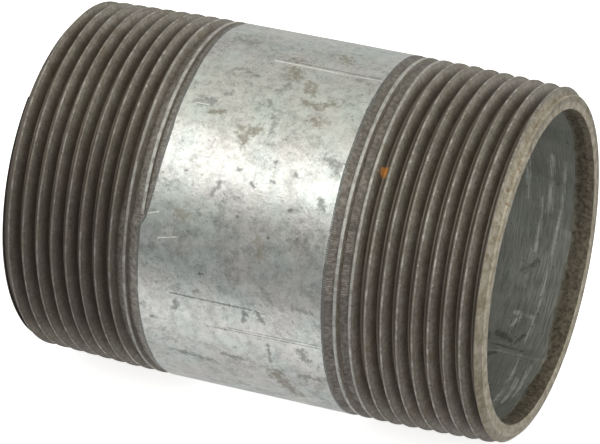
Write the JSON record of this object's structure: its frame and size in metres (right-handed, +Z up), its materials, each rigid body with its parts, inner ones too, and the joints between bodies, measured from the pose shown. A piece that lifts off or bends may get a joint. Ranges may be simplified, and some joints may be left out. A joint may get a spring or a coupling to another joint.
{
  "type": "threaded pipe nipple",
  "caption": "Short galvanised steel pipe with a plain barrel and a right-hand taper pipe thread on each end, for joining internally threaded fittings.",
  "frame": {"origin": "on the pipe's axis, midway between the end faces", "axes": "+X along the pipe's axis towards the right end; +Z up as the pipe lies on its side"},
  "size_m": [0.1016, 0.073, 0.073],
  "materials": {
    "machined_steel": "turned and lightly oiled, dull",
    "barrel_zinc": "hot-dip galvanised, satin, lightly stained",
    "bore_zinc": "hot-dip galvanised, rough, drag-marked",
    "thread_steel": "die-cut thread, oiled, satin"
  },
  "bodies": {
    "root": {"steel_pipe_wall": "machined_steel", "barrel_zinc_coat": "barrel_zinc", "bore_zinc_lining": "bore_zinc", "bore_weld_seam": "bore_zinc", "left_pipe_thread": "thread_steel", "right_pipe_thread": "thread_steel"}
  },
  "joints": []
}
